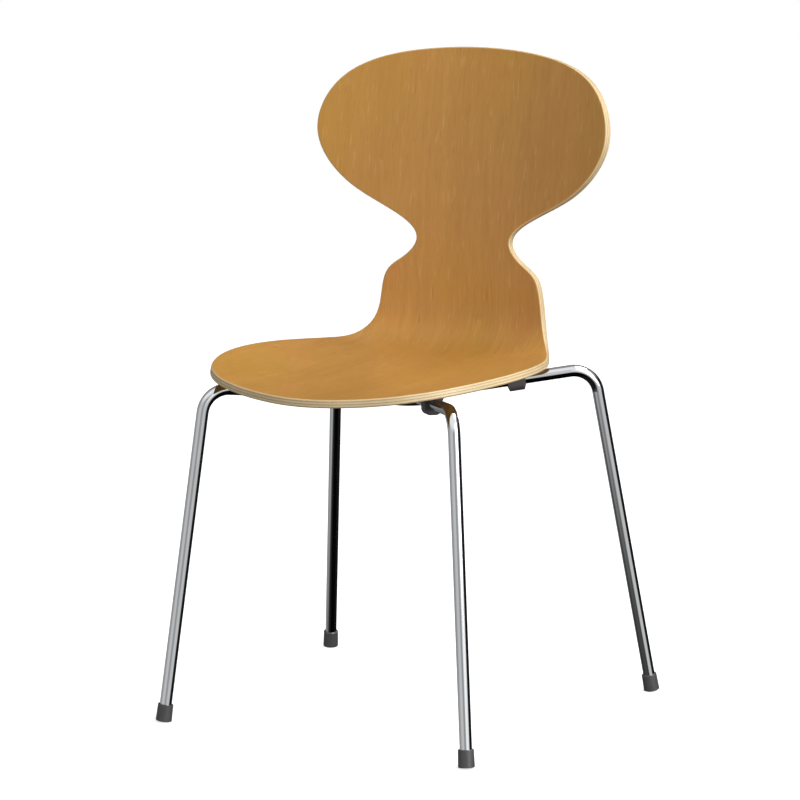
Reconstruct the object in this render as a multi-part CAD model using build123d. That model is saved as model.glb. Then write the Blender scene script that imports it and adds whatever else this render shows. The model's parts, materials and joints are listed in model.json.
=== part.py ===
from build123d import *
import math
import os

# A stacking chair: one moulded plywood shell on two bent steel tubes.
# Millimetres. X runs across the chair, the sitter's left positive; the sitter faces -Y;
# Z is up, from the floor. The chair is symmetric about X = 0.

# ---- shell: the middle line of its upper face, from the front edge up to the top ----
FRONT_EDGE_Y = -227.3
FRONT_EDGE_Z = 402.5
FRONT_ANGLE = -3.0          # slope of the seat at its front edge, degrees
SEAT_END_ANGLE = 4.0        # slope where the bend starts
BEND_START = 318.0          # lengths along the middle line
BEND_LENGTH = 108.0
BEND_TURN = 87.0            # degrees turned in the bend
LEAN_RATE = 0.05            # degrees per mm that the back leans away above the bend
SHELL_LENGTH = 725.0
CROSS_RADIUS = 715.0        # the sideways dish of the seat and wrap of the back

# half of the flat blank's outline: (distance from the middle line, length along it)
BLANK_OUTLINE = [
    (0, 0), (62.5, 10), (129.5, 38.5), (179, 113.5), (189, 186.5), (173.5, 265), (148, 321),
    (129, 360), (115.5, 392), (109.5, 424.5), (101, 453), (76.5, 472.5), (64, 491),
    (96.5, 523), (154.5, 555), (196, 614), (176, 675), (133.5, 704), (74, 719.5),
    (0, SHELL_LENGTH),
]

SHELL_THICKNESS = 9.4
VENEER = 0.7
GLUE_LINE = 0.05
SURFACE_HALF_WIDTH = 216.0
SURFACE_OVERRUN = 24.0
SURFACE_COLUMNS = 9         # points that the curved face is drawn through
SURFACE_ROWS = 66
NORMAL_REACH = 0.5          # distance to the neighbours that give a point's normal
CUTTER_HEIGHT = 400.0
CUTTER_REACH = 600.0

# ---- leg tubes ----
TUBE_RADIUS = 7.0
TUBE_BORE_RADIUS = 5.0
KNEE_BEND_RADIUS = 30.0
HUB_BEND_RADIUS = 30.0
HUB_CORNER = Vector(0, 27.7, 370)
FRONT_KNEE = Vector(163.5, -161.7, 391.7)
REAR_KNEE = Vector(177.4, 153.3, 400.1)
FRONT_FOOT = Vector(202, -198.7, 0.9)
REAR_FOOT = Vector(227, 218.1, 1.3)

# ---- foot caps ----
FOOT_HEIGHT = 20.0
FOOT_BASE_RADIUS = 9.5
FOOT_TOP_RADIUS = 9.0
FOOT_FLOOR = 4.0            # thickness under the tube's end
FOOT_EDGE = 0.8
FLOOR_SPACE = (1000, 1000, 100)
SLIP = 0.05                 # gap between parts that fit closely

# ---- spacer clips: heights are from the tube's axis ----
CLIP_LENGTH = 21.0
CLIP_FOOT_LENGTH = 17.0
CLIP_TOP_WIDTH = 30.0
CLIP_WIDTH = 20.0
CLIP_FLARE_START = 1.0
CLIP_FLARE_END = 12.0
CLIP_WALL = 6.0             # under the tube
CLIP_CORNER = 7.0
CLIP_SLOT = 4.0
CLIP_REACH_UP = 30.0        # before it is cut to the shell's underside
SHELL_GAP = 0.1
FRONT_CLIP_FROM_KNEE = 125.0
REAR_CLIP_FROM_KNEE = 94.0

# ---- hub ----
PLATE_RADIUS = 45.0
PLATE_BOTTOM = 384.0
PLATE_THICKNESS = 3.0
SADDLE_WIDTH = 22.0
SADDLE_BOTTOM = 373.0
SADDLE_START = 18.0         # distances out along each tube from the hub's corner
SADDLE_END = 41.0
PAD_RADIUS = 48.0
SCREW_COUNT = 4
SCREW_CIRCLE_RADIUS = 34.0
SCREW_RADIUS = 2.5
SCREW_HEAD_RADIUS = 4.75
SCREW_HEAD_HEIGHT = 3.5
SCREW_HEAD_ROUNDING = 0.33  # shares of the head's height
SCREW_SOCKET_SHARE = 0.6
SCREW_SOCKET_RADIUS = 1.7
SCREW_TOP = 398.0
SCREW_GAP = 0.25
WASHER_RADIUS = 6.0
WASHER_THICKNESS = 1.0
INSERT_RADIUS = 4.0
INSERT_BOTTOM = 394.0
INSERT_TOP = 398.4
COVER_RADIUS = 48.0
COVER_FLOOR_RADIUS = 27.0
COVER_BOTTOM = 362.2
COVER_SHOULDER = 371.0      # height where its sloping side meets its rim
COVER_TOP = 386.8
COVER_WALL = 1.6
COVER_EDGE = 8.0
COVER_BOSS_RADIUS = 3.5
COVER_BOSS_BOTTOM = 364.0
COVER_SCREW_RADIUS = 1.5
COVER_SCREW_HEAD_RADIUS = 3.4
COVER_SCREW_HEAD_HEIGHT = 2.0
COVER_SCREW_LENGTH = 12.0
COVER_SCREW_GAP = 0.15
TUBE_NOTCH_GAP = 0.6


# ---------------------------------------------------------------- shell form

def ease(t):
    """Goes from 0 to 1 with no slope at either end."""
    t = min(max(t, 0.0), 1.0)
    return t * t * (3.0 - 2.0 * t)


def middle_line_angle(s):
    """Slope of the middle line, in radians, at length s from the front edge."""
    seat = FRONT_ANGLE + (SEAT_END_ANGLE - FRONT_ANGLE) * min(s, BEND_START) / BEND_START
    bend = BEND_TURN * ease((s - BEND_START) / BEND_LENGTH)
    lean = LEAN_RATE * max(s - BEND_START - BEND_LENGTH, 0.0)
    return math.radians(seat + bend - lean)


def middle_line_point(s, step=1.0):
    """(y, z) of the middle line at length s, by adding up short straight steps."""
    count = max(1, round(abs(s) / step))
    ds = s / count
    y, z = FRONT_EDGE_Y, FRONT_EDGE_Z
    for i in range(count):
        angle = middle_line_angle((i + 0.5) * ds)
        y += math.cos(angle) * ds
        z += math.sin(angle) * ds
    return y, z


def dished_point(x, s):
    """Point of the upper face: the middle line, raised towards both sides."""
    y, z = middle_line_point(s)
    angle = middle_line_angle(s)
    rise = x * x / (2.0 * CROSS_RADIUS)
    return Vector(x, y - math.sin(angle) * rise, z + math.cos(angle) * rise)


def shell_point(x, s, depth):
    """Point at a depth below the upper face, measured square to that face."""
    across = dished_point(x + NORMAL_REACH, s) - dished_point(x - NORMAL_REACH, s)
    along = dished_point(x, s + NORMAL_REACH) - dished_point(x, s - NORMAL_REACH)
    normal = across.cross(along).normalized()
    return dished_point(x, s) - normal * depth


def form_surface(depth):
    """The whole curved face at a depth, larger than the shell on every side."""
    whole_length = SHELL_LENGTH + 2 * SURFACE_OVERRUN
    grid = []
    for i in range(SURFACE_ROWS):
        s = whole_length * i / (SURFACE_ROWS - 1) - SURFACE_OVERRUN
        row = []
        for j in range(SURFACE_COLUMNS):
            x = SURFACE_HALF_WIDTH * (2 * j / (SURFACE_COLUMNS - 1) - 1)
            row.append(shell_point(x, s, depth))
        grid.append(row)
    return Face.make_surface_from_array_of_points(grid, tol=0.005, min_deg=3, max_deg=3)


def outline_cutter(depth):
    """Prism over the blank's outline, looking at seat and back at 45 degrees."""
    view = Plane(origin=(0, 0, CUTTER_HEIGHT), x_dir=(1, 0, 0), z_dir=(0, -1, 1))
    half = [shell_point(x, s, depth) for x, s in BLANK_OUTLINE]
    flat = [view.to_local_coords(point) for point in half]
    right = [(point.X, point.Y) for point in flat]
    left = [(-x, y) for x, y in reversed(right[1:-1])]
    outline = Spline(*(right + left), periodic=True)
    face = Face(Wire([outline]))
    return view.location * extrude(face, amount=CUTTER_REACH, both=True)


def shell_layer(depth, thickness):
    """One layer of the shell, its edge square to its faces."""
    trimmed = (form_surface(depth) & outline_cutter(depth)).faces()[0]
    return Solid.thicken(trimmed, thickness, normal_override=(0, 1, -1))


# ---------------------------------------------------------------- shell layers

def screw_places():
    """Points on the axes of the screws that hold the shell to the hub."""
    places = []
    for i in range(SCREW_COUNT):
        angle = 2 * math.pi * i / SCREW_COUNT
        places.append(hub_centre() + Vector(math.cos(angle), math.sin(angle)) * SCREW_CIRCLE_RADIUS)
    return places


def upright(place, radius, low, high):
    """Cylinder on a vertical axis between two heights."""
    return Pos(place.X, place.Y, low) * Cylinder(
        radius, high - low, align=(Align.CENTER, Align.CENTER, Align.MIN)
    )


def insert_pockets():
    """Blind holes in the shell's underside that the threaded inserts sit in."""
    pockets = [
        upright(place, INSERT_RADIUS + SLIP, PLATE_BOTTOM, INSERT_TOP + SLIP)
        for place in screw_places()
    ]
    return Compound(pockets)


def front_veneer():
    return shell_layer(0, VENEER)


def core():
    depth = VENEER + GLUE_LINE
    return shell_layer(depth, SHELL_THICKNESS - 2 * depth) - insert_pockets()


def back_veneer():
    return shell_layer(SHELL_THICKNESS - VENEER, VENEER) - insert_pockets()


def space_over_underside():
    """Everything from just under the shell's underside upwards, for cutting parts to it."""
    return Solid.thicken(
        form_surface(SHELL_THICKNESS + SHELL_GAP), CLIP_REACH_UP, normal_override=(0, -1, 1)
    )


# ---------------------------------------------------------------- leg tubes

def mirrored(point):
    return Vector(-point.X, point.Y, point.Z)


def tube_path(foot, knee, end_height):
    """Middle line of one bent tube, from a left foot to the right one through the hub."""
    leg = (knee - foot).normalized()
    end = foot + leg * end_height
    corners = [end, knee, HUB_CORNER, mirrored(knee), mirrored(end)]
    radii = [KNEE_BEND_RADIUS, HUB_BEND_RADIUS, KNEE_BEND_RADIUS]
    return FilletPolyline(*corners, radius=radii)


def tube_solid(foot, knee, radius):
    path = tube_path(foot, knee, FOOT_FLOOR + SLIP)
    section = Plane(origin=path @ 0, z_dir=path % 0) * Circle(radius)
    return sweep(section, path=path)


def leg_tube(foot, knee):
    return tube_solid(foot, knee, TUBE_RADIUS) - tube_solid(foot, knee, TUBE_BORE_RADIUS)


def hub_bend_y(knee):
    """Where the middle of a tube's hub bend crosses the chair's middle plane."""
    half_angle = math.atan2(knee.X, abs(knee.Y - HUB_CORNER.Y))
    set_back = HUB_BEND_RADIUS * (1 / math.sin(half_angle) - 1)
    return HUB_CORNER.Y + math.copysign(set_back, knee.Y - HUB_CORNER.Y)


def hub_centre():
    """Halfway between the two hub bends, where the cover's screw goes up between them."""
    return Vector(0, (hub_bend_y(FRONT_KNEE) + hub_bend_y(REAR_KNEE)) / 2)


# ---------------------------------------------------------------- foot caps

def foot_cap(foot, knee):
    """Cap square to its leg, with a small worn flat where it meets the floor."""
    low = (Align.CENTER, Align.CENTER, Align.MIN)
    cap = Cone(FOOT_BASE_RADIUS, FOOT_TOP_RADIUS, FOOT_HEIGHT, align=low)
    cap = fillet(cap.edges().sort_by(Axis.Z)[0], FOOT_EDGE)
    cap = chamfer(cap.edges().sort_by(Axis.Z)[-1], FOOT_EDGE / 2)
    cap -= Pos(0, 0, FOOT_FLOOR) * Cylinder(TUBE_RADIUS + SLIP, FOOT_HEIGHT, align=low)
    cap = Plane(origin=foot, z_dir=knee - foot).location * cap
    return cap & Box(*FLOOR_SPACE, align=low)


# ---------------------------------------------------------------- spacer clips

def clip_plane(knee, distance_from_knee):
    """Plane across a tube: its X is level, its Y is up, its normal runs out to the knee."""
    outwards = (knee - HUB_CORNER).normalized()
    level = Vector(-outwards.Y, outwards.X, 0).normalized()
    return Plane(origin=knee - outwards * distance_from_knee, x_dir=level, z_dir=outwards)


def clip_block():
    """Saddle that wraps under the tube and widens towards the shell, on the XY plane."""
    bottom = -TUBE_RADIUS - CLIP_WALL
    half = CLIP_WIDTH / 2
    half_top = CLIP_TOP_WIDTH / 2
    right = [(half, bottom), (half, CLIP_FLARE_START)]
    right += [(half_top, CLIP_FLARE_END), (half_top, CLIP_REACH_UP)]
    left = [(-x, y) for x, y in reversed(right)]
    section = Polygon(*right, *left, align=None)
    section = fillet(section.vertices().sort_by(Axis.Y)[:2], CLIP_CORNER)
    block = extrude(section, CLIP_LENGTH / 2, both=True)

    half_length = CLIP_LENGTH / 2
    half_foot = CLIP_FOOT_LENGTH / 2
    side = Polygon(
        (bottom, half_foot), (-CLIP_WALL, half_length), (CLIP_REACH_UP, half_length),
        (CLIP_REACH_UP, -half_length), (-CLIP_WALL, -half_length), (bottom, -half_foot),
        align=None,
    )
    side_plane = Plane(origin=(0, 0, 0), x_dir=(0, 1, 0), z_dir=(1, 0, 0))
    block &= extrude(side_plane * side, CLIP_TOP_WIDTH, both=True)

    block -= Cylinder(TUBE_RADIUS + SLIP, 2 * CLIP_LENGTH)
    return block - Pos(0, CLIP_REACH_UP / 2, 0) * Box(CLIP_SLOT, CLIP_REACH_UP, 2 * CLIP_LENGTH)


def spacer_clip(knee, distance_from_knee, above):
    return clip_plane(knee, distance_from_knee).location * clip_block() - above


# ---------------------------------------------------------------- hub

def tube_spaces(gap):
    return [
        tube_solid(FRONT_FOOT, FRONT_KNEE, TUBE_RADIUS + gap),
        tube_solid(REAR_FOOT, REAR_KNEE, TUBE_RADIUS + gap),
    ]


def along_arms(start, end, width, low, high):
    """Upright blocks along the four tubes, between two distances from the hub's corner."""
    blocks = []
    for knee in (FRONT_KNEE, REAR_KNEE, mirrored(FRONT_KNEE), mirrored(REAR_KNEE)):
        arm = knee - HUB_CORNER
        turn = math.degrees(math.atan2(arm.Y, arm.X))
        block = Pos((start + end) / 2, 0, (low + high) / 2) * Box(end - start, width, high - low)
        blocks.append(Pos(HUB_CORNER.X, HUB_CORNER.Y, 0) * Rot(0, 0, turn) * block)
    return blocks


def mounting_plate():
    """Disc with a grooved saddle over each tube and a boss for the cover's screw."""
    centre = hub_centre()
    top = PLATE_BOTTOM + PLATE_THICKNESS
    plate = upright(centre, PLATE_RADIUS, PLATE_BOTTOM, top)
    for saddle in along_arms(SADDLE_START, SADDLE_END, SADDLE_WIDTH, SADDLE_BOTTOM, top):
        plate += saddle & upright(centre, PLATE_RADIUS, SADDLE_BOTTOM, top)
    for tube in tube_spaces(SLIP):
        plate -= tube
    plate += upright(centre, COVER_BOSS_RADIUS, COVER_BOSS_BOTTOM, top)
    plate -= upright(centre, COVER_SCREW_RADIUS + SLIP, COVER_BOSS_BOTTOM, cover_screw_top() + 1)
    for place in screw_places():
        plate -= upright(place, SCREW_RADIUS + SCREW_GAP, SADDLE_BOTTOM, top)
    return plate


def hub_pad(above):
    """Pad on the plate, cut to the curve of the shell's underside."""
    pad = upright(hub_centre(), PAD_RADIUS, PLATE_BOTTOM + PLATE_THICKNESS + SLIP, INSERT_TOP)
    for place in screw_places():
        pad -= upright(place, SCREW_RADIUS + SCREW_GAP, PLATE_BOTTOM, INSERT_TOP)
    return pad - above


def shell_inserts():
    inserts = []
    for place in screw_places():
        insert = upright(place, INSERT_RADIUS, INSERT_BOTTOM, INSERT_TOP)
        inserts.append(insert - upright(place, SCREW_RADIUS + SLIP, INSERT_BOTTOM, INSERT_TOP))
    return Compound(inserts)


def screw(place, radius, head_radius, head_low, head_high, top):
    """Pan-head screw with a hexagon socket, pointing up."""
    height = head_high - head_low
    head = upright(place, head_radius, head_low, head_high)
    head = fillet(head.edges().sort_by(Axis.Z)[0], height * SCREW_HEAD_ROUNDING)
    socket = extrude(RegularPolygon(SCREW_SOCKET_RADIUS, 6), height * SCREW_SOCKET_SHARE)
    socket = Pos(place.X, place.Y, head_low) * socket
    return head + upright(place, radius, head_high, top) - socket


def shell_screws():
    high = PLATE_BOTTOM - WASHER_THICKNESS - SLIP
    return Compound([
        screw(place, SCREW_RADIUS, SCREW_HEAD_RADIUS, high - SCREW_HEAD_HEIGHT, high, SCREW_TOP)
        for place in screw_places()
    ])


def screw_washers():
    washers = []
    for place in screw_places():
        low = PLATE_BOTTOM - WASHER_THICKNESS
        washer = upright(place, WASHER_RADIUS, low, PLATE_BOTTOM)
        washers.append(washer - upright(place, SCREW_RADIUS + SCREW_GAP, low, PLATE_BOTTOM))
    return Compound(washers)


def cover_screw_top():
    return COVER_BOTTOM + COVER_SCREW_LENGTH


def cover_form(inset):
    """Solid form of the cover, or of the space inside it when drawn in by its wall."""
    base = COVER_BOTTOM + inset
    rim = COVER_RADIUS - inset
    half_section = Polygon(
        (0, base), (COVER_FLOOR_RADIUS - inset / 2, base), (rim, COVER_SHOULDER),
        (rim, COVER_TOP), (0, COVER_TOP),
        align=None,
    )
    form = revolve(Plane.XZ * half_section, Axis.Z)
    rounded = form.edges().filter_by(GeomType.CIRCLE).sort_by(Axis.Z)[:2]
    return Pos(hub_centre()) * fillet(rounded, COVER_EDGE - inset)


def hub_cover():
    """Dished cup over the hub, notched for the four tubes."""
    cover = cover_form(0) - cover_form(COVER_WALL)
    for tube in tube_spaces(TUBE_NOTCH_GAP):
        cover -= tube
    notch = 2 * (TUBE_RADIUS + TUBE_NOTCH_GAP)
    for opening in along_arms(SADDLE_END, COVER_RADIUS + notch, notch, SADDLE_BOTTOM, COVER_TOP):
        cover -= opening
    screw_hole = COVER_SCREW_RADIUS + COVER_SCREW_GAP
    return cover - upright(hub_centre(), screw_hole, COVER_BOTTOM, COVER_TOP)


def cover_screw():
    """Small screw that holds the cover up to the plate's boss."""
    low = COVER_BOTTOM - COVER_SCREW_HEAD_HEIGHT
    head = COVER_SCREW_HEAD_RADIUS
    return screw(hub_centre(), COVER_SCREW_RADIUS, head, low, COVER_BOTTOM, cover_screw_top())


# ---------------------------------------------------------------- the whole chair

def chair_parts():
    above = space_over_underside()
    parts = {
        "shell_front_veneer": front_veneer(),
        "shell_core": core(),
        "shell_back_veneer": back_veneer(),
        "shell_inserts": shell_inserts(),
        "hub_pad": hub_pad(above),
        "mounting_plate": mounting_plate(),
        "shell_screws": shell_screws(),
        "screw_washers": screw_washers(),
        "hub_cover": hub_cover(),
        "cover_screw": cover_screw(),
    }
    ends = {
        "front": (FRONT_FOOT, FRONT_KNEE, FRONT_CLIP_FROM_KNEE),
        "rear": (REAR_FOOT, REAR_KNEE, REAR_CLIP_FROM_KNEE),
    }
    for end, (foot, knee, clip_from_knee) in ends.items():
        parts[f"{end}_leg_tube"] = leg_tube(foot, knee)
        left_foot = foot_cap(foot, knee)
        left_clip = spacer_clip(knee, clip_from_knee, above)
        parts[f"{end}_left_foot"] = left_foot
        parts[f"{end}_right_foot"] = mirror(left_foot, Plane.YZ)
        parts[f"{end}_left_clip"] = left_clip
        parts[f"{end}_right_clip"] = mirror(left_clip, Plane.YZ)
    return parts


os.makedirs("parts", exist_ok=True)
for name, solid in chair_parts().items():
    export_step(solid, f"parts/{name}.step")
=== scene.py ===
import json
import math

import bmesh
import bpy
import numpy as np
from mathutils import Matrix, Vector


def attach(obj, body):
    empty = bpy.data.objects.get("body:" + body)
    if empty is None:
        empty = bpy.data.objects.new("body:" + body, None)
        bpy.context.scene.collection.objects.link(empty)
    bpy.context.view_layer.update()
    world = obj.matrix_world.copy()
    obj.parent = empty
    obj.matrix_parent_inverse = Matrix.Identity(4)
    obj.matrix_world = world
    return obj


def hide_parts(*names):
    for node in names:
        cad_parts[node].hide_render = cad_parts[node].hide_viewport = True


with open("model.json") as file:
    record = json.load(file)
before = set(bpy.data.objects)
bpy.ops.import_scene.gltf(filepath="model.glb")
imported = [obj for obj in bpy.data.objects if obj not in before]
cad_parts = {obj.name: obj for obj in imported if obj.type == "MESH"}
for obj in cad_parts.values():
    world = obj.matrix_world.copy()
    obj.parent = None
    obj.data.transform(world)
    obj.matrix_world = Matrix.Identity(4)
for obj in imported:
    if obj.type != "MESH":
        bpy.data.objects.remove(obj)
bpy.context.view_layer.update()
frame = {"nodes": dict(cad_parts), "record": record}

BODY = "root"
MM = 0.001

# ------------------------------------------------------------------ the plywood blank
# In millimetres. Half of its outline: (distance from the middle line, length from the front)

BLANK_OUTLINE = [
    (0, 0), (62.5, 10), (129.5, 38.5), (179, 113.5), (189, 186.5), (173.5, 265), (148, 321),
    (129, 360), (115.5, 392), (109.5, 424.5), (101, 453), (76.5, 472.5), (64, 491),
    (96.5, 523), (154.5, 555), (196, 614), (176, 675), (133.5, 704), (74, 719.5),
    (0, 725),
]
FRONT_CORNER = 2            # outline points where the patch's ends meet its sides
BACK_CORNER = 17
SIDE_CELLS = 190
END_CELLS = 64
OUTLINE_STEPS = 24          # curve samples between two outline points

SHELL_THICKNESS = 9.4
VENEER = 0.7
GLUE_LINE = 0.05
ARRIS = 2.0                 # radius sanded on both rims

# ------------------------------------------------------------------ the press, in millimetres

FRONT_EDGE = (-227.3, 402.5)
FRONT_ANGLE = -3.0
SEAT_END_ANGLE = 4.0
BEND_START = 318.0
BEND_LENGTH = 108.0
BEND_TURN = 87.0
LEAN_RATE = 0.05            # degrees for each millimetre up the back
CROSS_RADIUS = 715.0
LINE_STEP = 0.5
LINE_LENGTH = 740.0

LEVEL = 0.99                # a face whose normal is this upright lies flat
WELD = 1e-5                 # patch places this close are one point


def closed_spline(points):
    """Smooth closed curve through the points: the gaps between them, the points, the bends."""
    p = np.array(points, float)
    gaps = np.linalg.norm(np.roll(p, -1, axis=0) - p, axis=1)
    count = len(p)
    system = np.zeros((count, count))
    load = np.zeros((count, 2))
    for i in range(count):
        before, after = gaps[i - 1], gaps[i]
        ahead = (i + 1) % count
        system[i, i - 1] = before / 6
        system[i, i] = (before + after) / 3
        system[i, ahead] = after / 6
        load[i] = (p[ahead] - p[i]) / after - (p[i] - p[i - 1]) / before
    return gaps, p, np.linalg.solve(system, load)


def spline_stretch(spline, first, last):
    """Close points of the curve from one of its points to a later one."""
    gaps, p, bend = spline
    b = np.arange(1, OUTLINE_STEPS + 1)[:, None] / OUTLINE_STEPS
    a = 1 - b
    stretch = [p[first : first + 1]]
    for i in range(first, last):
        j = (i + 1) % len(p)
        curving = (a**3 - a) * bend[i] + (b**3 - b) * bend[j]
        stretch.append(a * p[i] + b * p[j] + curving * gaps[i] ** 2 / 6)
    return np.vstack(stretch)


def evenly(curve, count):
    """The curve as count + 1 points at equal steps along it."""
    run = np.r_[0, np.cumsum(np.linalg.norm(np.diff(curve, axis=0), axis=1))]
    steps = np.linspace(0, run[-1], count + 1)
    return np.column_stack([np.interp(steps, run, curve[:, k]) for k in (0, 1)])


def drawn_in(curve, inset):
    """The curve moved towards its left by the inset, which is into the blank."""
    along = np.gradient(curve, axis=0)
    along /= np.linalg.norm(along, axis=1)[:, None]
    return curve + inset * np.column_stack([-along[:, 1], along[:, 0]])


class Blank:
    """The flat blank, drawn in all round, as a patch with corners (-1, -1) to (1, 1)."""

    def __init__(self, inset):
        last = len(BLANK_OUTLINE) - 1
        mirrored = [(-x, s) for x, s in reversed(BLANK_OUTLINE[1:-1])]
        half = spline_stretch(closed_spline(BLANK_OUTLINE + mirrored), 0, last)
        over_middle = half[[2, 1]] * [-1, 1], half, half[[-2, -3]] * [-1, 1]
        half = drawn_in(np.vstack(over_middle), inset)[2:-2]
        front = FRONT_CORNER * OUTLINE_STEPS
        back = BACK_CORNER * OUTLINE_STEPS
        self.front = evenly(half[: front + 1], END_CELLS // 2)
        self.side = evenly(half[front : back + 1], SIDE_CELLS)
        self.back = evenly(half[back:][::-1], END_CELLS // 2)

    def places(self, u, v):
        """(across, along) on the blank of the patch places u, v."""
        share = (v + 1) / 2
        side = self.side[np.rint(share * SIDE_CELLS).astype(int)]
        column = np.rint(np.abs(u) * END_CELLS / 2).astype(int)
        front = self.front[column] * np.column_stack([np.sign(u), np.ones_like(u)])
        back = self.back[column] * np.column_stack([np.sign(u), np.ones_like(u)])
        x = u * side[:, 0]
        x += (1 - share) * (front[:, 0] - u * self.side[0, 0])
        x += share * (back[:, 0] - u * self.side[-1, 0])
        s = side[:, 1].copy()
        s += (1 - share) * (front[:, 1] - self.side[0, 1])
        s += share * (back[:, 1] - self.side[-1, 1])
        return x, s


def middle_angles(s):
    """Slope of the pressed middle line at lengths s, in radians."""
    t = np.clip((s - BEND_START) / BEND_LENGTH, 0, 1)
    seat_share = np.minimum(s, BEND_START) / BEND_START
    seat = FRONT_ANGLE + (SEAT_END_ANGLE - FRONT_ANGLE) * seat_share
    lean = LEAN_RATE * np.maximum(s - BEND_START - BEND_LENGTH, 0)
    return np.radians(seat + BEND_TURN * t * t * (3 - 2 * t) - lean)


LINE_S = np.arange(0, LINE_LENGTH, LINE_STEP)
STEP_ANGLES = middle_angles(LINE_S[:-1] + LINE_STEP / 2)
LINE_Y = FRONT_EDGE[0] + np.r_[0, np.cumsum(np.cos(STEP_ANGLES))] * LINE_STEP
LINE_Z = FRONT_EDGE[1] + np.r_[0, np.cumsum(np.sin(STEP_ANGLES))] * LINE_STEP


def dished(x, s):
    """Where points of the blank's upper face go when it is bent and dished."""
    angle = middle_angles(s)
    rise = x * x / (2 * CROSS_RADIUS)
    y = np.interp(s, LINE_S, LINE_Y) - np.sin(angle) * rise
    z = np.interp(s, LINE_S, LINE_Z) + np.cos(angle) * rise
    return np.column_stack([x, y, z])


def pressed(x, s, depth):
    """Where points at a depth below the blank's upper face go in the press, in metres."""
    reach = LINE_STEP
    across = dished(x + reach, s) - dished(x - reach, s)
    along = dished(x, s + reach) - dished(x, s - reach)
    up = np.cross(across, along)
    up /= np.linalg.norm(up, axis=1)[:, None]
    return (dished(x, s) - up * depth[:, None]) * MM


def rim_inset(depth):
    """How far the sanded rim is drawn in at a depth below the upper face."""
    from_face = min(depth, SHELL_THICKNESS - depth)
    if from_face >= ARRIS:
        return 0.0
    return ARRIS - math.sqrt(ARRIS**2 - (ARRIS - from_face) ** 2)


def arris_depths(first, last, steps):
    """Depths at even turns round the arris, between two depths within it."""
    start, end = (math.acos(1 - depth / ARRIS) for depth in (first, last))
    turns = [start + (end - start) * i / steps for i in range(steps + 1)]
    return [ARRIS * (1 - math.cos(turn)) for turn in turns]


def from_below(depths):
    """The same depths measured from the lower face, in order from the top."""
    return [SHELL_THICKNESS - depth for depth in reversed(depths)]


# ------------------------------------------------------------------ the shell's layers

def finished(name, bm):
    """The built mesh as a named object in the scene."""
    mesh = bpy.data.meshes.new(name)
    bm.to_mesh(mesh)
    bm.free()
    piece = bpy.data.objects.new(name, mesh)
    bpy.context.scene.collection.objects.link(piece)
    return piece


def flat_layer(depths):
    """A closed slab in patch places, with rings round its rim at the depths."""
    bm = bmesh.new()
    bmesh.ops.create_grid(bm, x_segments=END_CELLS, y_segments=SIDE_CELLS, size=1)
    bmesh.ops.translate(bm, verts=bm.verts, vec=(0, 0, -depths[0]))
    rim = [edge for edge in bm.edges if edge.is_boundary]
    for above, below in zip(depths, depths[1:]):
        made = bmesh.ops.extrude_edge_only(bm, edges=rim)["geom"]
        ring = [item for item in made if isinstance(item, bmesh.types.BMVert)]
        rim = [item for item in made if isinstance(item, bmesh.types.BMEdge)]
        rim = [edge for edge in rim if edge.is_boundary]
        bmesh.ops.translate(bm, verts=ring, vec=(0, 0, above - below))
    lower = bmesh.ops.create_grid(bm, x_segments=END_CELLS, y_segments=SIDE_CELLS, size=1)
    bmesh.ops.translate(bm, verts=lower["verts"], vec=(0, 0, -depths[-1]))
    bmesh.ops.remove_doubles(bm, verts=bm.verts, dist=WELD)
    bmesh.ops.recalc_face_normals(bm, faces=bm.faces)
    bm.verts.index_update()
    return bm


def shell_layer(name, depths):
    """One layer of the shell, pressed, with its place on the blank kept as a UV map."""
    bm = flat_layer(depths)
    flat = np.array([vert.co for vert in bm.verts])
    depth = -flat[:, 2]
    ring = np.argmin(np.abs(depth[:, None] - np.array(depths)), axis=1)
    x, s = np.zeros(len(flat)), np.zeros(len(flat))
    for i, ring_depth in enumerate(depths):
        on_ring = ring == i
        depth[on_ring] = ring_depth
        blank = Blank(rim_inset(ring_depth))
        x[on_ring], s[on_ring] = blank.places(flat[on_ring, 0], flat[on_ring, 1])
    in_press = pressed(x, s, depth)

    on_blank = bm.loops.layers.uv.new("blank")
    depth_layer = bm.verts.layers.float.new("depth")
    for face in bm.faces:
        face.smooth = True
        for loop in face.loops:
            i = loop.vert.index
            loop[on_blank].uv = (x[i] * MM, s[i] * MM)
    for edge in bm.edges:
        level = [abs(face.normal.z) > LEVEL for face in edge.link_faces]
        inner = all(0 < ring[vert.index] < len(depths) - 1 for vert in edge.verts)
        edge.smooth = inner or level[0] == level[1] or outer_face(edge, ring, depths)
    for vert in bm.verts:
        vert[depth_layer] = depth[vert.index]
        vert.co = in_press[vert.index]
    return finished(name, bm)


def outer_face(edge, ring, depths):
    """Whether the edge lies on the shell's own upper or lower face."""
    level = depths[ring[edge.verts[0].index]]
    return level in (0.0, SHELL_THICKNESS)


def arris_and_wall():
    """Depths of each layer's rings: through the upper arris, the wall and the lower arris."""
    veneer = arris_depths(0, VENEER, 4)
    core_arris = arris_depths(VENEER + GLUE_LINE, ARRIS, 4)
    core = core_arris + from_below(core_arris)
    return veneer, core, from_below(veneer)


# ------------------------------------------------------------------ finishes

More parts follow.
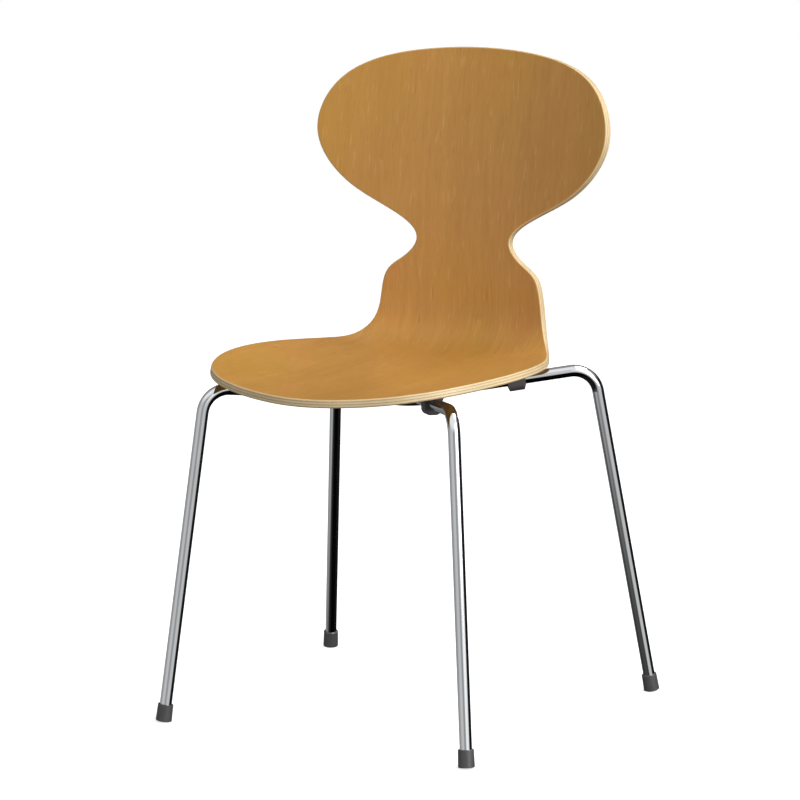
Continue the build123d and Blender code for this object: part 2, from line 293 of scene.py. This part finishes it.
class Signal:
    """A number on its way through a finish; sums on it add the nodes that do them."""

    def __init__(self, finish, socket):
        self.finish = finish
        self.socket = socket

    def _sum(self, operation, first, second):
        return self.finish.add("ShaderNodeMath", {"operation": operation}, {0: first, 1: second})

    def __add__(self, other):
        return self._sum("ADD", self, other)

    def __radd__(self, other):
        return self._sum("ADD", other, self)

    def __sub__(self, other):
        return self._sum("SUBTRACT", self, other)

    def __rsub__(self, other):
        return self._sum("SUBTRACT", other, self)

    def __mul__(self, other):
        return self._sum("MULTIPLY", self, other)

    def __rmul__(self, other):
        return self._sum("MULTIPLY", other, self)

    def __truediv__(self, other):
        return self._sum("DIVIDE", self, other)

    def __rtruediv__(self, other):
        return self._sum("DIVIDE", other, self)


class Finish:
    """The nodes of one material, or of the studio's surroundings."""

    def __init__(self, owner):
        owner.use_nodes = True
        self.owner = owner
        self.tree = owner.node_tree
        self.tree.nodes.clear()

    def add(self, kind, settings=None, sockets=None, out=0):
        """A new node of a kind: its settings first, then values or links of its sockets."""
        node = self.tree.nodes.new(kind)
        for name, value in (settings or {}).items():
            setattr(node, name, value)
        for name, value in (sockets or {}).items():
            if isinstance(value, Signal):
                self.tree.links.new(value.socket, node.inputs[name])
            else:
                node.inputs[name].default_value = value
        return Signal(self, node.outputs[out]) if node.outputs else None

    def stretched(self, place, x, y, z):
        """The place measured in steps of its own along each axis."""
        return self.add("ShaderNodeVectorMath", {"operation": "MULTIPLY"}, {0: place, 1: (x, y, z)})

    def noise(self, place, detail=2.0, roughness=0.5):
        sockets = {"Vector": place, "Scale": 1.0, "Detail": detail, "Roughness": roughness}
        return self.add("ShaderNodeTexNoise", {"noise_dimensions": "3D"}, sockets)

    def ramp(self, value, low, high):
        """0 below low, 1 above high and smooth between."""
        settings = {"interpolation_type": "SMOOTHSTEP", "clamp": True}
        return self.add(
            "ShaderNodeMapRange", settings, {"Value": value, "From Min": low, "From Max": high}
        )

    def blended(self, share, first, second):
        """A colour between two colours."""
        return self.add(
            "ShaderNodeMix", {"data_type": "RGBA"}, {0: share, 6: first, 7: second}, out=2
        )

    def relief(self, height, depth, strength=1.0):
        """A surface normal for a height from 0 to 1 that is so many metres deep."""
        sockets = {"Height": height, "Distance": depth, "Strength": strength}
        return self.add("ShaderNodeBump", None, sockets)

    def surface(self, sockets):
        shader = self.add("ShaderNodeBsdfPrincipled", None, sockets)
        self.add("ShaderNodeOutputMaterial", None, {"Surface": shader})
        return self.owner


def new_finish(name):
    return Finish(bpy.data.materials.new(name))


def colour(red, green, blue):
    return red, green, blue, 1.0


def oak_veneer():
    """Straight-grained oak under a satin lacquer, paler on the rim: partly sanded-through wood,
    partly a painted highlight along the arris.
    """
    finish = new_finish("oak_veneer")
    on_blank = finish.add("ShaderNodeUVMap", {"uv_map": "blank"})
    wander = finish.noise(finish.stretched(on_blank, 7, 2.4, 1), 2.0)
    waver = finish.noise(finish.stretched(on_blank, 45, 16, 1), 2.0)
    sideways = (wander - 0.5) * 0.024 + (waver - 0.5) * 0.0030
    turn = finish.add("ShaderNodeCombineXYZ", None, {"X": sideways, "Y": 0.0, "Z": 0.0})
    grain = finish.add("ShaderNodeVectorMath", {"operation": "ADD"}, {0: on_blank, 1: turn})

    bands = finish.noise(finish.stretched(grain, 24, 0.9, 1), 2.0)
    figure = finish.noise(finish.stretched(grain, 150, 9, 1), 2.0, 0.6)
    streaks = finish.noise(finish.stretched(grain, 340, 24, 1), 2.0, 0.55)
    flecks = finish.noise(finish.stretched(grain, 300, 32, 1), 1.0)
    lines = finish.noise(finish.stretched(grain, 640, 26, 1), 3.0, 0.65)
    pores = finish.noise(finish.stretched(grain, 620, 38, 1), 2.0, 0.6)
    clouds = finish.noise(finish.stretched(on_blank, 6, 4, 1), 2.0)
    patches = finish.noise(finish.stretched(on_blank, 17, 8, 1), 3.0, 0.6)

    tone = 0.5 + (bands - 0.5) * 0.6 + (figure - 0.5) * 0.7 + (streaks - 0.5) * 0.6
    tone = tone + (lines - 0.5) * 0.35
    base = finish.blended(tone, colour(0.425, 0.198, 0.039), colour(0.595, 0.302, 0.068))
    reddish = finish.ramp(patches, 0.52, 0.72) * 0.45
    base = finish.blended(reddish, base, colour(0.55, 0.225, 0.052))
    golden = finish.ramp(clouds, 0.46, 0.66) * 0.5
    base = finish.blended(golden, base, colour(0.50, 0.262, 0.038))
    dark_streaks = finish.ramp(streaks, 0.60, 0.73)
    base = finish.blended(dark_streaks * 0.42, base, colour(0.30, 0.125, 0.022))
    open_pores = finish.ramp(pores, 0.62, 0.74)
    base = finish.blended(open_pores * 0.30, base, colour(0.24, 0.10, 0.018))
    pale_flecks = finish.ramp(flecks, 0.62, 0.74)
    base = finish.blended(pale_flecks * 0.26, base, colour(0.72, 0.43, 0.15))

    depth = finish.add("ShaderNodeAttribute", {"attribute_name": "depth"}, None, out=2)
    from_face = finish.add(
        "ShaderNodeMath", {"operation": "MINIMUM"}, {0: depth, 1: SHELL_THICKNESS - depth}
    )
    # The rim rings below the face are painted paler: partly the sanded-through wood, partly a
    # painted highlight along the arris.
    sanded_rim_and_painted_highlight = finish.ramp(from_face + (lines - 0.5) * 0.10, 0.03, 0.20)
    base = finish.blended(sanded_rim_and_painted_highlight * 0.8, base, colour(0.74, 0.53, 0.27))

    rubbed = finish.ramp(finish.noise(finish.stretched(on_blank, 16, 9, 1), 4.0, 0.6), 0.35, 0.7)
    roughness = 0.36 + rubbed * 0.08 + open_pores * 0.16 + (lines - 0.5) * 0.08
    height = 0.7 + (lines - 0.5) * 0.35 - open_pores * 0.6
    return finish.surface({
        "Base Color": base,
        "Roughness": roughness,
        "Specular IOR Level": 0.35,
        "Coat Weight": 0.12,
        "Coat Roughness": 0.25,
        "Normal": finish.relief(height, 0.00006, 0.6),
    })


PLY = (SHELL_THICKNESS - 2 * VENEER) / 5


def birch_plies():
    """The board's edge: five plies, crossed in turn, with dark glue between, sealed."""
    finish = new_finish("birch_plies")
    place = finish.add("ShaderNodeTexCoord", None, None, out=3)
    depth = finish.add("ShaderNodeAttribute", {"attribute_name": "depth"}, None, out=2)
    waver = finish.noise(finish.stretched(place, 60, 60, 60), 2.0)
    layer = (depth - VENEER + (waver - 0.5) * 0.18) / PLY
    within = finish.add("ShaderNodeMath", {"operation": "PINGPONG"}, {0: layer, 1: 0.5})
    crossed = finish.add("ShaderNodeMath", {"operation": "PINGPONG"}, {0: layer, 1: 1.0})
    end_grain = finish.ramp(crossed, 0.44, 0.56)
    glue = 1 - finish.ramp(within, 0.015, 0.07)

    fibres = finish.noise(finish.stretched(place, 700, 700, 180), 3.0, 0.65)
    patches = finish.noise(finish.stretched(place, 28, 28, 28), 3.0)
    tone = 0.5 + (fibres - 0.5) * 0.9 + (patches - 0.5) * 0.8
    long_grain = finish.blended(tone, colour(0.60, 0.45, 0.235), colour(0.80, 0.66, 0.42))
    cut_grain = finish.blended(tone, colour(0.40, 0.28, 0.14), colour(0.62, 0.47, 0.27))
    base = finish.blended(end_grain, long_grain, cut_grain)
    base = finish.blended(glue * 0.65, base, colour(0.17, 0.10, 0.045))
    dull = finish.ramp(patches, 0.35, 0.7)
    return finish.surface({
        "Base Color": base,
        "Roughness": 0.40 + dull * 0.1 + end_grain * 0.08,
        "Coat Weight": 0.2,
        "Coat Roughness": 0.25,
        "Normal": finish.relief(fibres - glue * 0.5, 0.00008, 0.6),
    })


def chromed_tube():
    """Bright chrome with faint smears and rub marks."""
    finish = new_finish("chromed_tube")
    place = finish.add("ShaderNodeTexCoord", None, None, out=3)
    smears = finish.noise(finish.stretched(place, 18, 18, 5), 4.0, 0.6)
    rubs = finish.noise(finish.stretched(place, 900, 900, 60), 2.0, 0.7)
    hazy = finish.ramp(smears, 0.45, 0.75)
    worn = finish.ramp(rubs, 0.60, 0.72) * hazy
    base = finish.blended(hazy * 0.5, colour(0.80, 0.81, 0.83), colour(0.70, 0.71, 0.725))
    roughness = 0.055 + hazy * 0.05 + worn * 0.12
    return finish.surface({
        "Base Color": base,
        "Metallic": 1.0,
        "Roughness": roughness,
        "Normal": finish.relief(smears * 0.8 + rubs * 0.2, 0.00002, 0.15),
    })


def moulded(name, dark, light, shine, grit):
    """Moulded plastic or rubber: fine spark texture, cloudy gloss and scuffed high spots."""
    finish = new_finish(name)
    place = finish.add("ShaderNodeTexCoord", None, None, out=3)
    spark = finish.noise(finish.stretched(place, 2600, 2600, 2600), 2.0, 0.7)
    flow = finish.noise(finish.stretched(place, 70, 70, 35), 3.0, 0.6)
    scuffs = finish.noise(finish.stretched(place, 900, 900, 130), 3.0, 0.7)
    scuffed = finish.ramp(scuffs, 0.62, 0.75)
    base = finish.blended(0.5 + (flow - 0.5) * 0.9 + (spark - 0.5) * 0.5, dark, light)
    base = finish.blended(scuffed * 0.3, base, colour(*(2.2 * part for part in light[:3])))
    return finish.surface({
        "Base Color": base,
        "Roughness": shine + (flow - 0.5) * 0.15 + scuffed * 0.12,
        "Normal": finish.relief(spark + scuffed * 0.2, grit, 0.5),
    })


def powder_coat():
    """Black powder coat on steel, with its orange-peel surface."""
    finish = new_finish("plate_steel")
    place = finish.add("ShaderNodeTexCoord", None, None, out=3)
    peel = finish.noise(finish.stretched(place, 900, 900, 900), 1.0)
    dust = finish.noise(finish.stretched(place, 45, 45, 45), 4.0, 0.6)
    dusty = finish.ramp(dust, 0.5, 0.75)
    base = finish.blended(dusty * 0.5, colour(0.022, 0.022, 0.024), colour(0.07, 0.068, 0.064))
    return finish.surface({
        "Base Color": base,
        "Roughness": 0.42 + dusty * 0.2,
        "Normal": finish.relief(peel, 0.00012, 0.5),
    })


def zinc_steel():
    """Zinc-plated steel, brushed by use and slightly blotched."""
    finish = new_finish("zinc_steel")
    place = finish.add("ShaderNodeTexCoord", None, None, out=3)
    blotch = finish.noise(finish.stretched(place, 160, 160, 160), 4.0, 0.6)
    drawn = finish.noise(finish.stretched(place, 300, 2600, 2600), 2.0, 0.7)
    base = finish.blended(blotch, colour(0.46, 0.46, 0.45), colour(0.68, 0.69, 0.68))
    return finish.surface({
        "Base Color": base,
        "Metallic": 1.0,
        "Roughness": 0.24 + (blotch - 0.5) * 0.2 + (drawn - 0.5) * 0.12,
        "Normal": finish.relief(drawn, 0.00003, 0.4),
    })


# ------------------------------------------------------------------ the object

def make_shell():
    """The pressed shell's three layers, each in place of its plain node."""
    veneer, core, back = arris_and_wall()
    oak = oak_veneer()
    layers = [
        ("front_veneer", "shell_front_veneer", veneer, oak, "oak_veneer"),
        ("ply_core", "shell_core", core, birch_plies(), "birch_plies"),
        ("back_veneer", "shell_back_veneer", back, oak, "oak_veneer"),
    ]
    for name, node, depths, material, slot in layers:
        layer = shell_layer(name, depths)
        layer.data.materials.append(material)
        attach(layer, BODY)
        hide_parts(node)


def finish_nodes():
    """Gives every carried-over node its finish."""
    finishes = {
        "chromed_tube": chromed_tube(),
        "foot_plastic": moulded(
            "foot_plastic", colour(0.050, 0.050, 0.052), colour(0.090, 0.090, 0.093), 0.42, 0.00005
        ),
        "clip_plastic": moulded(
            "clip_plastic", colour(0.048, 0.043, 0.047), colour(0.082, 0.075, 0.080), 0.48, 0.00004
        ),
        "cover_plastic": moulded(
            "cover_plastic", colour(0.024, 0.024, 0.025), colour(0.042, 0.042, 0.044), 0.5, 0.00005
        ),
        "plate_steel": powder_coat(),
        "pad_rubber": moulded(
            "pad_rubber", colour(0.020, 0.020, 0.020), colour(0.036, 0.035, 0.034), 0.75, 0.00006
        ),
        "zinc_steel": zinc_steel(),
    }
    for part in frame["record"]["subparts"]:
        finish = finishes.get(part["material_slot"])
        if finish:
            for slot in frame["nodes"][part["node"]].material_slots:
                slot.material = finish


# ------------------------------------------------------------------ the studio

VIEW_AZIMUTH = math.radians(30.1)
VIEW_ELEVATION = math.radians(9.416)
VIEW_DISTANCE = 3.988
VIEW_TARGET = Vector((-0.004, 0.0097, 0.3665))
VIEW_LENS = 153.0           # millimetres, on a 36 mm wide sensor
VIEW_REACH = 60             # metres that the camera sees
FLOOR_REACH = 12            # metres from the middle of the floor to its sides

# name, place, side of the square in metres, watts
LAMPS = [
    ("key_lamp", (2.80, -0.60, 2.40), 1.8, 64),
    ("side_lamp", (3.30, -1.00, 1.10), 1.6, 45),
    ("back_lamp", (1.20, 1.00, 3.40), 1.6, 52),
]


def set_camera():
    camera = bpy.data.objects.new("camera", bpy.data.cameras.new("camera"))
    bpy.context.scene.collection.objects.link(camera)
    camera.data.lens = VIEW_LENS
    camera.data.clip_end = VIEW_REACH
    towards = Vector((
        math.sin(VIEW_AZIMUTH) * math.cos(VIEW_ELEVATION),
        -math.cos(VIEW_AZIMUTH) * math.cos(VIEW_ELEVATION),
        math.sin(VIEW_ELEVATION),
    ))
    camera.location = VIEW_TARGET + towards * VIEW_DISTANCE
    camera.rotation_euler = towards.to_track_quat("Z", "Y").to_euler()
    bpy.context.scene.camera = camera


def lay_floor():
    bm = bmesh.new()
    bmesh.ops.create_grid(bm, x_segments=8, y_segments=8, size=FLOOR_REACH)
    floor = finished("floor", bm)
    finish = new_finish("floor_paint")
    place = finish.add("ShaderNodeTexCoord", None, None, out=3)
    mottle = finish.noise(finish.stretched(place, 3, 3, 3), 3.0)
    base = finish.blended(mottle, colour(0.70, 0.70, 0.70), colour(0.72, 0.72, 0.72))
    floor.data.materials.append(finish.surface({
        "Base Color": base,
        "Roughness": 0.8,
        "Specular IOR Level": 0.1,
        "Emission Color": colour(1, 1, 1),
        "Emission Strength": 0.66,
    }))
    floor.visible_glossy = False
    floor.visible_diffuse = False


def hang_lamp(name, place, size, watts):
    """A square soft lamp that faces the middle of the object."""
    light = bpy.data.lights.new(name, "AREA")
    light.size = size
    light.energy = watts
    lamp = bpy.data.objects.new(name, light)
    bpy.context.scene.collection.objects.link(lamp)
    lamp.location = place
    away = Vector(place) - VIEW_TARGET
    lamp.rotation_euler = away.to_track_quat("Z", "Y").to_euler()


def studio_walls():
    """White to the eye; it lights the object one way and shows in the chrome another way."""
    world = bpy.data.worlds.new("studio")
    bpy.context.scene.world = world
    studio = Finish(world)
    outwards = studio.add("ShaderNodeTexCoord", None, None, out=0)
    turned = studio.add(
        "ShaderNodeVectorRotate",
        {"rotation_type": "Z_AXIS"},
        {"Vector": outwards, "Angle": -VIEW_AZIMUTH},
    )
    split = studio.add("ShaderNodeSeparateXYZ", None, {0: turned}).socket.node
    right, ahead, up = (Signal(studio, output) for output in split.outputs)

    rays = studio.add("ShaderNodeLightPath").socket.node
    camera_ray = Signal(studio, rays.outputs["Is Camera Ray"])
    glossy_ray = Signal(studio, rays.outputs["Is Glossy Ray"])
    shine = reflected_room(studio, right, ahead, up)
    strength = glossy_ray * shine + (1 - glossy_ray) * soft_light(studio, ahead, up)
    strength = camera_ray + (1 - camera_ray) * strength
    white = {"Color": colour(1, 1, 1), "Strength": strength}
    backdrop = studio.add("ShaderNodeBackground", None, white)
    studio.add("ShaderNodeOutputWorld", None, {"Surface": backdrop})


def soft_light(studio, ahead, up):
    """What lights the object: a bright band low in front, less from above and behind."""
    over_floor = studio.ramp(up, -0.23, -0.07)
    high = studio.ramp(up, 0.17, 0.33)
    overhead = studio.ramp(up, 0.62, 0.78)
    behind = studio.ramp(ahead, -0.2, 0.2)
    front_band = (over_floor - high) * (1 - behind)
    high_behind = (high - overhead) * behind
    return 0.14 * (1 - over_floor) + 1.42 * front_band + 1.05 * high_behind + 0.47 * overhead


def reflected_room(studio, right, ahead, up):
    """What the chrome shows: grey walls, a white box, black flags and a dark ground."""
    on_right = studio.ramp(right, -0.18, -0.08)
    left_wall = 0.60 * (1 - 0.44 * studio.ramp(right, -0.55, -0.30))
    left_wall = left_wall * (1 - 0.42 * studio.ramp(ahead, -0.45, 0.10))
    white_box = studio.ramp(up, -0.10, 0.02) * studio.ramp(right, 0.05, 0.35)
    right_wall = 0.36 + 0.25 * studio.ramp(right, 0.0, 0.35) + 0.48 * white_box
    walls = left_wall * (1 - on_right) + right_wall * on_right
    flag = on_right * studio.ramp(ahead, -0.50, -0.24)
    ceiling = studio.ramp(up, 0.30, 0.70)
    ceiling_shine = 0.95 - 0.62 * studio.ramp(ahead, -0.15, 0.25)
    shine = walls * (1 - flag * 0.985) * (1 - ceiling) + ceiling * ceiling_shine
    far_wall = studio.ramp(ahead, 0.60, 0.85) * studio.ramp(up, 0.0, 0.08)
    shine = shine * (1 - far_wall * (1 - ceiling * 0.5) * 0.93)

    left_front = studio.ramp(0 - right, 0.0, 0.8) * studio.ramp(0 - ahead, -0.2, 0.3)
    below_edge = -0.365 - 0.075 * left_front - up
    ground = studio.ramp(below_edge, -0.05, 0.05)
    carpet = 0.092 - 0.082 * studio.ramp(below_edge, 0.0, 0.15)
    carpet = carpet * (1 - on_right * 0.85)
    return shine * (1 - ground) + ground * carpet


def light_studio():
    studio_walls()
    for lamp in LAMPS:
        hang_lamp(*lamp)
    bpy.context.scene.view_settings.view_transform = "Standard"


set_camera()
make_shell()
finish_nodes()
lay_floor()
light_studio()
